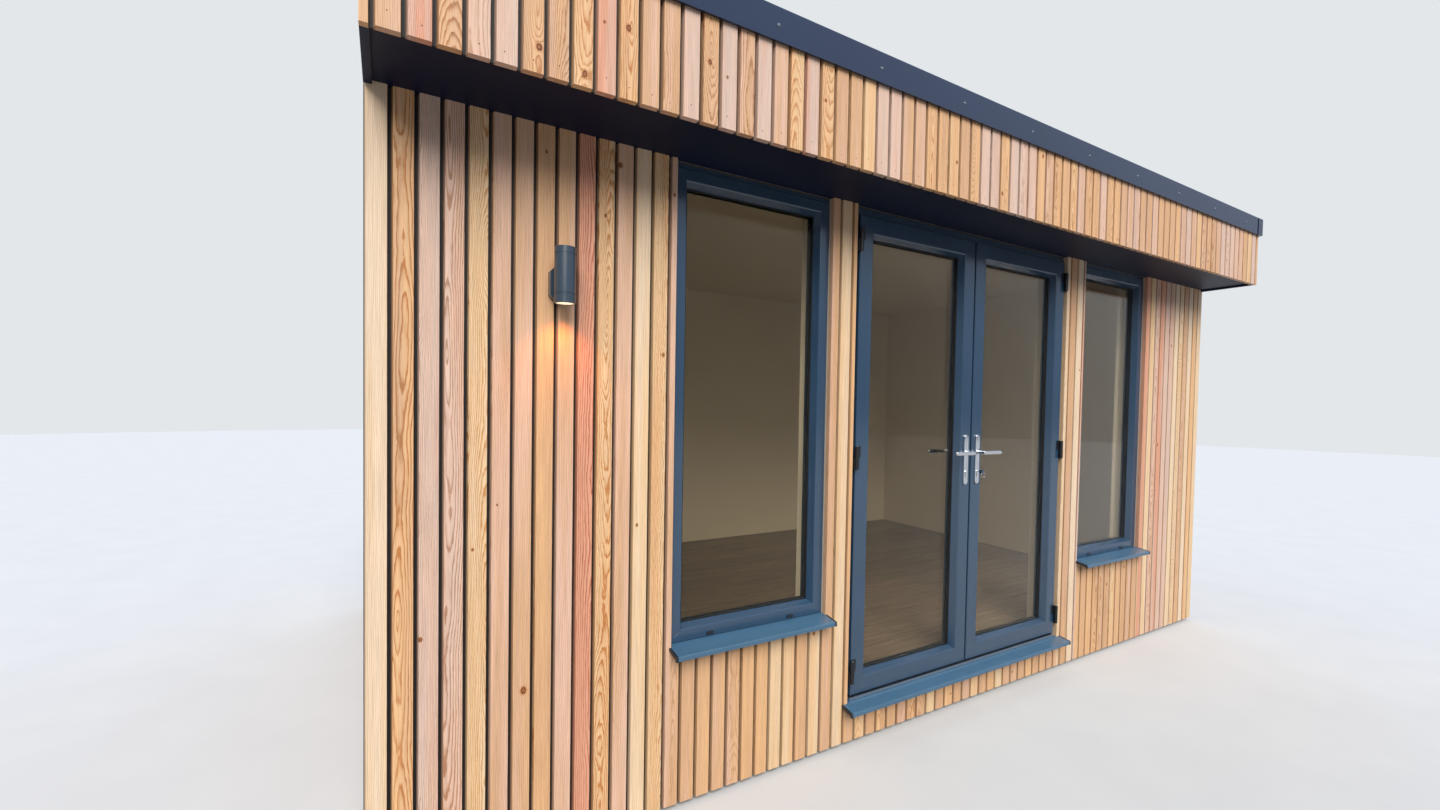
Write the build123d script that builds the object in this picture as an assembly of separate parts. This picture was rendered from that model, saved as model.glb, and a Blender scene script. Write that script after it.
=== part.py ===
"""Garden office pod: a flat-roofed timber building clad in vertical larch boards.

Frame of the model: X to the right along the front wall, Y into the building, Z up.
The origin is on the ground, in the middle of the building's outline. Millimetres.
Depths are measured from the front face of the front wall's boards, towards the room.
"""
import os
from math import radians, sin
from build123d import *

# Whole building
body_width = 4766
body_depth = 2800
canopy_out = 278
soffit_height = 2218
header_height = 172

# Base and floor
bearer_height = 50
bearer_width = 100
bearer_setback = 20
bearer_count = 4
floor_base_top = 175
floor_deck_thickness = 40
floor_covering_thickness = 10

# Walls
board_thickness = 20
board_ground_gap = 20
wall_thickness = 128
ceiling_thickness = 12

# Roof, canopy and trims
roof_deck_thickness = 170
membrane_thickness = 6
soffit_thickness = 8
fascia_drop = 10
trim_upstand = 49
trim_face = 105
trim_lap = 15
trim_proud = 12
trim_thickness = 8
trim_top_width = 75
trim_round = 5
corner_cover = 60
corner_cover_thickness = 3

# Openings, with the frames' outer sizes
door_offset = 59
door_width = 1490
window_width = 673
pier_left = 130
pier_right = 178
window_sill_height = 573
frame_gap = 2
frame_setback = 22
head_gap = 2
head_packer = 14
packer_setback = 4

# Window and leaf sections
window_flat = 43
window_depth = 70
leaf_flat = 70
leaf_thickness = 68
bead_width = 14
bead_round = 6
glass_depth = 32
glass_thickness = 24
glass_cover = 12
glass_edge_gap = 3
edge_round = 3

# Sills
sill_seat = 8
sill_projection = 60
sill_fall = 13
sill_nose = 16
sill_nose_thickness = 6
sill_nose_bevel = 2
window_sill_horn = 6
door_sill_horn = 28

# Door frame and threshold
jamb_face = 15
leaf_proud = 16
stop_gap = 5
stop_width = 40
stop_depth = 20
threshold_plate = 8
threshold_lip = 4
threshold_upstand = 32
leaf_ground = 21
leaf_gap = 5
meeting_gap = 10

# Hinges
hinge_radius = 9
hinge_height = 94
hinge_split = 1
hinge_standoff = 1
hinge_bevel = 1.5
hinge_inset = 102
pin_radius = 4
pin_clearance = 0.3
flag_width = 26
flag_thickness = 3

# Handles and locks
handle_height = 993
handle_inset = 36
plate_width = 28
plate_length = 235
plate_thickness = 8
plate_round = 2.5
plate_drop = 33
neck_radius = 9
neck_clearance = 0.3
collar_radius = 12
collar_height = 4
spindle_radius = 4
spindle_clearance = 1
lever_reach = 122
lever_height = 18
lever_thickness = 10
lever_round = 3.5
lever_standoff = 38
cylinder_drop = 92
cylinder_radius = 8.5
cylinder_fin_width = 10
cylinder_fin_length = 24
cylinder_proud = 3
key_bow_radius = 12
key_thickness = 2.6
key_reach = 22

# Wall light
light_offset = -1879
light_drop = 450
light_radius = 31
light_length = 163
light_bracket_width = 68
light_bracket_height = 96
light_bracket_depth = 28
light_bracket_drop = 18
light_bracket_bevel = 13
light_groove_depth = 1.5
light_groove_height = 3
light_upper_groove = 22
light_lower_groove = 26
light_edge_bevel = 1.5
light_neck = 4
light_wall = 4
lens_thickness = 4
lens_lip = 2

# Places worked out from the sizes above
front_y = (canopy_out - body_depth) / 2
half_width = body_width / 2
back_depth = body_depth
structure_front = board_thickness
room_front = board_thickness + wall_thickness
room_back = body_depth - room_front
room_half_width = half_width - room_front
roof_deck_height = soffit_height + header_height
floor_top = floor_base_top + floor_deck_thickness + floor_covering_thickness
roof_top = roof_deck_height + roof_deck_thickness
trim_top = roof_top + membrane_thickness + trim_upstand
trim_bottom = trim_top - trim_face
fascia_top = trim_bottom + trim_lap
door_sill_height = floor_base_top + sill_seat
head_height = soffit_height - head_gap
frame_top = head_height - head_packer
door_left = door_offset - door_width / 2
door_right = door_offset + door_width / 2
window_left_offset = door_left - pier_left - window_width / 2
window_right_offset = door_right + pier_right + window_width / 2
window_offsets = (window_left_offset, window_right_offset)
stop_front = frame_setback - leaf_proud + leaf_thickness + stop_gap
door_frame_back = stop_front + stop_depth
leaf_face = frame_setback - leaf_proud
leaf_bottom = door_sill_height + leaf_ground
leaf_top = frame_top - jamb_face - leaf_gap
leaf_height = leaf_top - leaf_bottom
leaf_width = (door_width - meeting_gap) / 2 - jamb_face - leaf_gap
hinge_depth = leaf_face - hinge_radius - hinge_standoff
hinge_reach = jamb_face + leaf_gap / 2
handle_z = leaf_bottom + handle_height
plate_z = handle_z - plate_drop
cylinder_z = handle_z - cylinder_drop
light_height = soffit_height - light_drop

os.makedirs("parts", exist_ok=True)


def save(shape, name):
    """Write one sub-part under its own name."""
    export_step(shape, f"parts/{name}.step")


def block(x0, x1, depth0, depth1, z0, z1):
    """A plain slab between two X values, two depths and two heights."""
    middle = ((x0 + x1) / 2, front_y + (depth0 + depth1) / 2, (z0 + z1) / 2)
    return Pos(*middle) * Box(x1 - x0, depth1 - depth0, z1 - z0)


def together(pieces):
    """Several separate solids kept as one sub-part."""
    return Compound(children=[solid for piece in pieces for solid in piece.solids()])


def along_x(outline, x0, x1):
    """Extrude an outline of (depth, height) points from x0 to x1."""
    points = [(front_y + depth, z) for depth, z in outline]
    face = Plane.YZ * make_face(Polyline(*points, close=True))
    return Pos(x0, 0, 0) * extrude(face, x1 - x0, dir=(1, 0, 0))


def upright(x, depth, z0, z1, radius):
    """A vertical round bar."""
    bar = Cylinder(radius, z1 - z0, align=(Align.CENTER, Align.CENTER, Align.MIN))
    return Pos(x, front_y + depth, z0) * bar


def through(x, z, depth0, depth1, radius):
    """A round bar that runs into the building."""
    bar = Cylinder(radius, depth1 - depth0)
    return Pos(x, front_y + (depth0 + depth1) / 2, z) * Rot(90, 0, 0) * bar


def base_and_floor():
    """Bearers on the ground, an insulated floor base, its deck and its covering."""
    bearer_x = half_width - board_thickness - bearer_setback
    first = structure_front + bearer_setback
    last = back_depth - structure_front - bearer_setback - bearer_width
    step = (last - first) / (bearer_count - 1)
    bearers = []
    for number in range(bearer_count):
        depth = first + number * step
        bearers.append(block(-bearer_x, bearer_x, depth, depth + bearer_width, 0, bearer_height))
    save(together(bearers), "base_bearers")

    base_x = half_width - board_thickness
    base = block(-base_x, base_x, structure_front, back_depth - structure_front,
                 bearer_height, floor_base_top)
    save(base, "floor_base")

    deck_top = floor_base_top + floor_deck_thickness
    layers = (("floor_deck", floor_base_top, deck_top), ("floor_covering", deck_top, floor_top))
    for name, z0, z1 in layers:
        room = block(-room_half_width, room_half_width, room_front, room_back, z0, z1)
        doorway = block(door_left, door_right, door_frame_back, room_front, z0, z1)
        save(room + doorway, name)


def front_wall_spans():
    """The X ranges of the front wall's solid stretches, beside the openings."""
    window_edges = [(offset - window_width / 2, offset + window_width / 2)
                    for offset in window_offsets]
    left_window, right_window = window_edges
    ends = ((-half_width, left_window[0] - frame_gap), (right_window[1] + frame_gap, half_width))
    piers = ((left_window[1] + frame_gap, door_left - frame_gap),
             (door_right + frame_gap, right_window[0] - frame_gap))
    under = [(x0 - frame_gap, x1 + frame_gap) for x0, x1 in window_edges]
    return ends, piers, under


def front_wall():
    """Wall panels beside, under and over the openings, and the boards that face them."""
    ends, piers, under = front_wall_spans()
    depths = (structure_front, room_front)
    inner = half_width - board_thickness
    beside = [(max(x0, -inner), min(x1, inner)) for x0, x1 in ends + piers]
    sill_bed = window_sill_height - sill_seat
    save(together([block(x0, x1, *depths, floor_base_top, soffit_height) for x0, x1 in beside]),
         "front_wall_panels")
    save(together([block(x0, x1, *depths, floor_base_top, sill_bed) for x0, x1 in under]),
         "front_wall_under_windows")
    save(block(-inner, inner, *depths, soffit_height, roof_deck_height), "front_wall_header")

    depths = (0, board_thickness)
    save(together([block(x0, x1, *depths, board_ground_gap, soffit_height)
                   for x0, x1 in ends + piers]), "front_cladding")
    window_bed = window_sill_height - sill_thickness_at_boards()
    boards = [block(x0, x1, *depths, board_ground_gap, window_bed) for x0, x1 in under]
    door_bed = door_sill_height - sill_thickness_at_boards()
    boards.append(block(door_left - frame_gap, door_right + frame_gap, *depths,
                        board_ground_gap, door_bed))
    save(together(boards), "front_cladding_under_openings")


def sill_thickness_at_boards():
    """How far a sill's underside lies below its seat where it leaves the boards."""
    return sill_seat + sill_fall * board_thickness / (board_thickness + sill_projection)


def other_walls():
    """Side and back wall panels, and the boards that face them."""
    inner = half_width - board_thickness
    back_face = back_depth - structure_front
    walls = []
    boards = []
    for side in (-1, 1):
        x0, x1 = sorted((side * inner, side * room_half_width))
        walls.append(block(x0, x1, room_front, room_back, floor_base_top, roof_deck_height))
        x0, x1 = sorted((side * inner, side * half_width))
        boards.append(block(x0, x1, structure_front, back_face, board_ground_gap, fascia_top))
    save(together(walls), "side_walls")
    save(together(boards), "side_cladding")
    save(block(-inner, inner, room_back, back_face, floor_base_top, roof_deck_height), "back_wall")
    save(block(-half_width, half_width, back_face, back_depth, board_ground_gap, fascia_top),
         "back_cladding")


def canopy():
    """The box over the front wall: framing, soffit panel and the boards that face it."""
    inner = half_width - board_thickness
    fascia_back = board_thickness - canopy_out
    soffit_top = soffit_height + soffit_thickness
    fascia_bottom = soffit_height - fascia_drop
    save(block(-inner, inner, fascia_back, structure_front, soffit_top, roof_deck_height),
         "canopy_framing")

    soffit = block(-half_width, half_width, fascia_back, structure_front, soffit_height,
                   soffit_top)
    for side in (-1, 1):
        x0, x1 = sorted((side * inner, side * half_width))
        soffit += block(x0, x1, fascia_back, 0, fascia_bottom, soffit_height)
    save(soffit, "soffit")

    save(block(-half_width, half_width, -canopy_out, fascia_back, fascia_bottom, fascia_top),
         "fascia_cladding")
    ends = []
    for side in (-1, 1):
        x0, x1 = sorted((side * inner, side * half_width))
        ends.append(block(x0, x1, fascia_back, structure_front, soffit_top, fascia_top))
    save(together(ends), "canopy_end_cladding")


def roof():
    """Roof deck, ceiling, membrane and the coping trims round the edge."""
    inner = half_width - board_thickness
    front = board_thickness - canopy_out
    back = back_depth - structure_front
    save(block(-inner, inner, front, back, roof_deck_height, roof_top), "roof_deck")
    save(block(-room_half_width, room_half_width, room_front, room_back,
               roof_deck_height - ceiling_thickness, roof_deck_height), "ceiling")
    save(block(-inner, inner, front, back, roof_top, roof_top + membrane_thickness),
         "roof_covering")

    outer_x = half_width + trim_proud
    outer_front = -canopy_out - trim_proud
    outer_back = back_depth + trim_proud
    middle = (outer_front + outer_back) / 2
    past = corner_cover_thickness
    save(trim_run(0, outer_front, 0, 2 * outer_x, past), "roof_trim_front")
    save(trim_run(0, outer_back, 180, 2 * outer_x, past), "roof_trim_back")
    sides = [trim_run(-outer_x, middle, -90, outer_back - outer_front, 0),
             trim_run(outer_x, middle, 90, outer_back - outer_front, 0)]
    save(together(sides), "roof_trim_sides")


def trim_run(x, depth, turn, length, past):
    """One side of the roof trim, with its outer face through the given point."""
    return Pos(x, front_y + depth, 0) * Rot(0, 0, turn) * coping(length, past)


def coping(length, past):
    """One length of roof-edge trim: a folded cap with a deep outer leg and mitred ends.

    A cover laps the outer leg at each end, and reaches past the corner by the given amount."""
    inner_leg_bottom = roof_top + membrane_thickness
    section = [(0, trim_bottom), (0, trim_top), (trim_top_width, trim_top),
               (trim_top_width, inner_leg_bottom),
               (trim_top_width - trim_thickness, inner_leg_bottom),
               (trim_top_width - trim_thickness, trim_top - trim_thickness),
               (trim_thickness, trim_top - trim_thickness), (trim_thickness, trim_bottom)]
    outline = rounded_at(section, (0, trim_top), trim_round)
    bar = Pos(-length / 2, 0, 0) * extrude(Plane.YZ * outline, length)
    bar = mitre_ends(bar, length, trim_top_width, Plane.XY, trim_top)
    reach = corner_cover + past
    for end in (-1, 1):
        cover = Box(reach, corner_cover_thickness, trim_face - trim_round,
                    align=(Align.CENTER, Align.MAX, Align.MIN))
        bar += Pos(end * (length / 2 + past - reach / 2), 0, trim_bottom) * cover
    return bar


def mitre_ends(bar, length, width, plane, depth):
    """Cut both ends of a bar along X back at 45 degrees, as seen in the given plane."""
    for end in (-1, 1):
        corner = end * length / 2
        waste = Polyline((corner, 0), (corner, width), (corner - end * width, width), close=True)
        bar -= extrude(plane * make_face(waste), depth, both=True)
    return bar


def rounded_at(section, corner, radius):
    """A section of (depth, height) points, with one of its corners rounded."""
    outline = make_face(Polyline(*section, close=True))
    return fillet(outline.vertices().sort_by_distance(corner)[0], radius)


def mitred_frame(width, height, flat, depth):
    """A glazed frame: flat face, a bead that slopes in from a rounded shoulder, a channel
    for the glass and a plain back, mitred at the corners."""
    sightline = flat + bead_width
    channel = sightline - glass_cover - glass_edge_gap
    glass_back = glass_depth + glass_thickness
    section = [(0, edge_round), (0, flat), (glass_depth, sightline), (glass_depth, channel),
               (glass_back, channel), (glass_back, sightline), (depth, sightline), (depth, 0),
               (edge_round, 0)]
    outline = rounded_at(section, (0, flat), bead_round)
    rails = []
    for turn, length, x, z in ((0, width, 0, 0), (90, height, -width / 2, height / 2),
                               (180, width, 0, height), (270, height, width / 2, height / 2)):
        rail = Pos(-length / 2, 0, 0) * extrude(Plane.YZ * outline, length)
        rail = mitre_ends(rail, length, sightline, Plane.XZ, depth)
        rails.append(Pos(x, 0, z) * Rot(0, turn, 0) * rail)
    return rails[0].fuse(*rails[1:])


def glass_unit(width, height, flat):
    """The double-glazed unit that sits in a frame's channel, bedded on its two faces."""
    edge = flat + bead_width - glass_cover
    pane = Box(width - 2 * edge, glass_thickness, height - 2 * edge,
               align=(Align.CENTER, Align.MIN, Align.MIN))
    return Pos(0, glass_depth, edge) * pane


def sill_section(seat_height, back):
    """Outline of a sill: a seat under the frame, a fall to the front and a hanging nose."""
    nose_top = seat_height - sill_fall
    nose_bottom = nose_top - sill_nose
    inner_nose = -sill_projection + sill_nose_thickness
    slope = sill_fall / (structure_front + sill_projection)
    under_nose = seat_height - slope * (structure_front - inner_nose) - sill_seat
    return [(back, seat_height), (structure_front, seat_height),
            (sill_nose_bevel - sill_projection, nose_top + slope * sill_nose_bevel),
            (-sill_projection, nose_top - sill_nose_bevel),
            (-sill_projection, nose_bottom), (inner_nose, nose_bottom),
            (inner_nose, under_nose), (structure_front, seat_height - sill_seat),
            (back, seat_height - sill_seat)]


def sill(offset, width, seat_height, back, horn):
    """A sill under an opening, with a horn past the boards at each end."""
    half = width / 2
    seat = along_x(sill_section(seat_height, back), offset - half, offset + half)
    reach = half + frame_gap + horn
    nose = along_x(sill_section(seat_height, back), offset - reach, offset + reach)
    in_front = block(offset - reach, offset + reach, -2 * sill_projection, 0, 0, seat_height)
    return seat + (nose & in_front)


def windows():
    """Two fixed windows with their glass, head packers and sills."""
    height = frame_top - window_sill_height
    frames = []
    glass = []
    sills = []
    for offset in window_offsets:
        place = Pos(offset, front_y + frame_setback, window_sill_height)
        packer = block(offset - window_width / 2, offset + window_width / 2,
                       frame_setback + packer_setback, frame_setback + window_depth,
                       frame_top, head_height)
        frames.append(place * mitred_frame(window_width, height, window_flat, window_depth) + packer)
        glass.append(place * glass_unit(window_width, height, window_flat))
        sills.append(sill(offset, window_width, window_sill_height,
                          frame_setback + window_depth, window_sill_horn))
    save(frames[0], "window_frame_left")
    save(frames[1], "window_frame_right")
    save(together(glass), "window_glass")
    save(together(sills), "window_sills")


def door_surround():
    """The door's fixed frame, its sill and its metal threshold."""
    section = [(0, frame_setback), (0, door_frame_back), (stop_width, door_frame_back),
               (stop_width, stop_front), (jamb_face, stop_front), (jamb_face, frame_setback)]
    corner = [(door_left + across, front_y + depth) for across, depth in section]
    face = Pos(0, 0, door_sill_height) * make_face(Polyline(*corner, close=True))
    path = Polyline((door_left, front_y, door_sill_height), (door_left, front_y, frame_top),
                    (door_right, front_y, frame_top), (door_right, front_y, door_sill_height))
    surround = sweep(face, path=path, transition=Transition.RIGHT)
    surround += block(door_left, door_right, frame_setback + packer_setback, door_frame_back,
                      frame_top, head_height)
    save(surround, "door_frame")
    save(sill(door_offset, door_width, door_sill_height, door_frame_back, door_sill_horn),
         "door_sill")

    lip_front = leaf_face
    section = [(lip_front, 0), (lip_front, threshold_plate + threshold_lip),
               (lip_front + threshold_plate, threshold_plate + threshold_lip),
               (lip_front + 2 * threshold_plate, threshold_plate),
               (stop_front, threshold_plate), (stop_front, 0)]
    raised = [(depth, door_sill_height + z) for depth, z in section]
    threshold = along_x(raised, door_left + jamb_face, door_right - jamb_face)
    threshold += block(door_left + stop_width, door_right - stop_width, stop_front,
                       door_frame_back, door_sill_height, door_sill_height + threshold_upstand)
    save(threshold, "door_threshold")


def euro_profile(x, depth0, depth1, clearance):
    """The lock cylinder's keyhole-shaped outline, run through from depth0 to depth1."""
    radius = cylinder_radius + clearance
    fin = cylinder_fin_width / 2 + clearance
    barrel = through(x, cylinder_z, depth0, depth1, radius)
    return barrel + block(x - fin, x + fin, depth0, depth1,
                          cylinder_z - cylinder_fin_length - clearance, cylinder_z)


def door_leaf(name, side):
    """One door leaf: sash, glass, hinge flags, backplates, lock cylinder and lever."""
    meeting_edge = door_offset + side * meeting_gap / 2
    middle = meeting_edge + side * leaf_width / 2
    handle_x = meeting_edge + side * handle_inset
    leaf_back = leaf_face + leaf_thickness
    place = Pos(middle, front_y + leaf_face, leaf_bottom)
    sash = place * mitred_frame(leaf_width, leaf_height, leaf_flat, leaf_thickness)
    sash -= through(handle_x, handle_z, leaf_face - 1, leaf_back + 1,
                    spindle_radius + spindle_clearance)
    sash -= euro_profile(handle_x, leaf_face - 1, leaf_back + 1, pin_clearance)
    save(sash, f"{name}_leaf")
    save(place * glass_unit(leaf_width, leaf_height, leaf_flat), f"{name}_leaf_glass")
    save(backplates(handle_x), f"{name}_backplates")
    save(lock_cylinder(handle_x, side > 0), f"{name}_lock_cylinder")
    save(lever(handle_x, side), f"{name}_lever")


def backplates(x):
    """Long rounded plates on the two faces of a leaf, with holes for spindle and lock."""
    faces = ((leaf_face - plate_thickness, leaf_face),
             (leaf_face + leaf_thickness, leaf_face + leaf_thickness + plate_thickness))
    plates = []
    for depth0, depth1 in faces:
        outline = Rot(90, 0, 0) * Rot(0, 0, 90) * extrude(
            SlotOverall(plate_length, plate_width), plate_thickness / 2, both=True)
        plate = Pos(x, front_y + (depth0 + depth1) / 2, plate_z) * outline
        shown = plate.faces().sort_by(Axis.Y)[0 if depth0 < leaf_face else -1]
        plate = fillet(shown.edges(), plate_round)
        plate -= through(x, handle_z, depth0 - 1, depth1 + 1, spindle_radius + spindle_clearance)
        plate -= euro_profile(x, depth0 - 1, depth1 + 1, pin_clearance)
        plates.append(plate)
    return together(plates)


def lock_cylinder(x, with_key):
    """A lock cylinder through the leaf, and on one leaf the key that stands in it."""
    front = leaf_face - plate_thickness - cylinder_proud
    back = leaf_face + leaf_thickness + plate_thickness + cylinder_proud
    cylinder = euro_profile(x, front, back, 0)
    if with_key:
        half = key_thickness / 2
        stem = block(x - half, x + half, front - key_reach, front,
                     cylinder_z - key_bow_radius / 3, cylinder_z + key_bow_radius / 3)
        bow = Pos(x, front_y + front - key_reach, cylinder_z) * Rot(0, 90, 0) * Cylinder(
            key_bow_radius, key_thickness)
        hole = Pos(x, front_y + front - key_reach - key_bow_radius / 2, cylinder_z) * Rot(
            0, 90, 0) * Cylinder(key_bow_radius / 4, 2 * key_thickness)
        cylinder = cylinder + stem + bow - hole
    return cylinder


def lever(x, side):
    """Outer and inner lever on one spindle, pointing away from the meeting edge."""
    outer_plate = leaf_face - plate_thickness
    inner_plate = leaf_face + leaf_thickness + plate_thickness
    whole = through(x, handle_z, outer_plate - lever_standoff, inner_plate + lever_standoff,
                    spindle_radius)
    for face, out in ((outer_plate, -1), (inner_plate, 1)):
        root = face + out * neck_clearance
        tip = face + out * lever_standoff
        whole += through(x, handle_z, min(root, tip), max(root, tip), neck_radius)
        rim = root + out * collar_height
        whole += through(x, handle_z, min(root, rim), max(root, rim), collar_radius)
        arm_length = lever_reach + lever_height / 2
        arm = Rot(90, 0, 0) * extrude(SlotOverall(arm_length, lever_height),
                                      lever_thickness / 2, both=True)
        arm = fillet(arm.edges(), lever_round)
        shift = side * (arm_length - lever_height) / 2
        whole += Pos(x + shift, front_y + tip, handle_z) * arm
    return whole


def hinges():
    """Three lift-off hinges a leaf: a post on the frame with its pin, and a flag on the leaf."""
    centres = (leaf_bottom + hinge_inset, (leaf_bottom + leaf_top) / 2, leaf_top - hinge_inset)
    half = hinge_height / 2
    posts = []
    for name, edge, side in (("left", door_left, 1), ("right", door_right, -1)):
        axis = edge + side * hinge_reach
        flags = []
        for z in centres:
            post = upright(axis, hinge_depth, z - half, z - hinge_split / 2, hinge_radius)
            post = chamfer(post.edges().sort_by(Axis.Z)[0], hinge_bevel)
            post += upright(axis, hinge_depth, z - half, z + half, pin_radius)
            x0, x1 = sorted((edge + side * frame_gap, axis - side * hinge_split))
            post += block(x0, x1, hinge_depth, frame_setback, z - half, z - hinge_split / 2)
            posts.append(post)
            flag = upright(axis, hinge_depth, z + hinge_split / 2, z + half, hinge_radius)
            flag = chamfer(flag.edges().sort_by(Axis.Z)[-1], hinge_bevel)
            x0, x1 = sorted((axis, axis + side * flag_width))
            flag += block(x0, x1, leaf_face - flag_thickness, leaf_face, z + hinge_split / 2,
                          z + half)
            flag -= upright(axis, hinge_depth, z, z + half + 1, pin_radius + pin_clearance)
            flags.append(flag)
        save(together(flags), f"{name}_hinge_flags")
    save(together(posts), "hinge_posts")


def wall_light():
    """A round down-light on a square wall bracket, with its lens."""
    bracket_z = light_height - light_bracket_drop
    half_height = light_bracket_height / 2
    light = block(light_offset - light_bracket_width / 2, light_offset + light_bracket_width / 2,
                  -light_bracket_depth, 0, bracket_z - half_height, bracket_z + half_height)
    light = chamfer(light.edges().filter_by(Axis.Y), light_bracket_bevel)
    axis_depth = -light_bracket_depth - light_neck - light_radius
    bottom = light_height - light_length / 2
    top = bottom + light_length
    body = upright(light_offset, axis_depth, bottom, top, light_radius)
    body = chamfer(body.edges().filter_by(GeomType.CIRCLE), light_edge_bevel)
    for z in (bottom + light_lower_groove, top - light_upper_groove):
        body -= upright(light_offset, axis_depth, z, z + light_groove_height, 2 * light_radius) \
            - upright(light_offset, axis_depth, z, z + light_groove_height,
                      light_radius - light_groove_depth)
    light += body
    saddle = light_radius * sin(radians(45))
    light += block(light_offset - saddle, light_offset + saddle, axis_depth,
                   -light_bracket_depth, bracket_z - saddle, bracket_z + saddle)
    bore = light_radius - light_wall
    lens_top = bottom + lens_lip + lens_thickness
    light -= upright(light_offset, axis_depth, bottom - 1, lens_top, bore)
    save(light, "wall_light")
    save(upright(light_offset, axis_depth, bottom + lens_lip, lens_top, bore - pin_clearance),
         "light_lens")


base_and_floor()
front_wall()
other_walls()
canopy()
roof()
windows()
door_surround()
door_leaf("left", -1)
door_leaf("right", 1)
hinges()
wall_light()
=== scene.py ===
import math
import random

import bmesh
import bpy
from mathutils import Matrix, Vector


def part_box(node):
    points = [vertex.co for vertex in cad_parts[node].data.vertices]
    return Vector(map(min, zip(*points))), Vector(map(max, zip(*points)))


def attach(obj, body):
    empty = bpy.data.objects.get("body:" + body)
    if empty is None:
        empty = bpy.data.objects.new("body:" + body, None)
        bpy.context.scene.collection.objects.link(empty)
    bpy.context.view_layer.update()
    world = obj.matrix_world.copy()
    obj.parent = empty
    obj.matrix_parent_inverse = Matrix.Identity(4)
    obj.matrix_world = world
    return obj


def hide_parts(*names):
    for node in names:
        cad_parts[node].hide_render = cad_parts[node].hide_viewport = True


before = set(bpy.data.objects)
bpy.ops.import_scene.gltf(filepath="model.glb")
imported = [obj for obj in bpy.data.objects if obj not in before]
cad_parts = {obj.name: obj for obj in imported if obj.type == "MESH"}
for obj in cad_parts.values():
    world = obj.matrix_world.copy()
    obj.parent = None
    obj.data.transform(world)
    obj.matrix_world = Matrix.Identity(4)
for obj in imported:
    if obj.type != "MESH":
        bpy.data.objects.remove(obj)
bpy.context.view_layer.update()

scene = bpy.context.scene


# Camera. It stands at the left end of the front wall, 1.8 m out and 1.4 m up, and looks
# along the wall with a wide lens.
def look(yaw, pitch, roll):
    """Turn of a camera that looks yaw right of +Y, pitch below level, rolled clockwise."""
    ahead = Vector((math.sin(yaw), math.cos(yaw), 0))
    level = Vector((math.cos(yaw), -math.sin(yaw), 0))
    up = Vector((0, 0, 1))
    forward = ahead * math.cos(pitch) - up * math.sin(pitch)
    above = up * math.cos(pitch) + ahead * math.sin(pitch)
    right = level * math.cos(roll) + above * math.sin(roll)
    above = above * math.cos(roll) - level * math.sin(roll)
    return Matrix((right, above, -forward)).transposed()


lens = bpy.data.cameras.new("camera")
lens.lens = 14.44
lens.sensor_width = 36
lens.sensor_fit = "HORIZONTAL"
lens.shift_y = 0.0116
lens.clip_start = 0.02
camera = bpy.data.objects.new("camera", lens)
camera.matrix_world = look(math.radians(29.95), math.radians(1.55), math.radians(0.94)).to_4x4()
camera.location = (-2.32835, -3.0221, 1.3953)
scene.collection.objects.link(camera)
scene.camera = camera
scene.view_settings.view_transform = "Standard"


# Studio. A pale floor sheet that takes the building's shadow, an even pale surround,
# and one broad soft lamp high in front of the building and to its left.
def paint(code):
    """Linear colour of an sRGB hex value."""
    parts = [int(code[at:at + 2], 16) / 255 for at in (1, 3, 5)]
    return [p / 12.92 if p <= 0.04045 else ((p + 0.055) / 1.055) ** 2.4 for p in parts] + [1]


def add(tree, kind, inputs=None, **settings):
    """A node with its settings, and its inputs either set or linked from other nodes."""
    made = tree.nodes.new(kind)
    for name, value in settings.items():
        setattr(made, name, value)
    for name, value in (inputs or {}).items():
        if isinstance(value, bpy.types.NodeSocket):
            tree.links.new(value, made.inputs[name])
        else:
            made.inputs[name].default_value = value
    return made


def finish_of(name, **values):
    """A material and its node tree, with the shader's own values set."""
    made = bpy.data.materials.new(name)
    made.use_nodes = True
    tree = made.node_tree
    shader = tree.nodes["Principled BSDF"]
    for key, value in values.items():
        shader.inputs[key.replace("_", " ")].default_value = value
    return made, tree, shader


def mottled(name, dark, pale, scale, detail=2.0, stretch=(1, 1, 1), ends=(0, 1), **values):
    """A material in two tones that run into each other over a noise of this scale.

    stretch multiplies the scale along X, Y and Z, and ends are the noise's values where
    each tone is pure."""
    made, tree, shader = finish_of(name, **values)
    place = add(tree, "ShaderNodeTexCoord")
    spot = add(tree, "ShaderNodeMapping", {"Vector": place.outputs["Object"], "Scale": stretch})
    noise = add(tree, "ShaderNodeTexNoise", {"Vector": spot.outputs[0], "Scale": scale,
                                             "Detail": detail})
    tone = add(tree, "ShaderNodeValToRGB", {"Fac": noise.outputs["Fac"]})
    for stop, code, at in zip(tone.color_ramp.elements, (dark, pale), ends):
        stop.color = paint(code)
        stop.position = at
    tree.links.new(tone.outputs["Color"], shader.inputs["Base Color"])
    return made


def mesh_piece(name, points, faces, material):
    """A new mesh object in the frame's own coordinates."""
    mesh = bpy.data.meshes.new(name)
    mesh.from_pydata(points, [], faces)
    mesh.materials.append(material)
    made = bpy.data.objects.new(name, mesh)
    scene.collection.objects.link(made)
    return made


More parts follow.
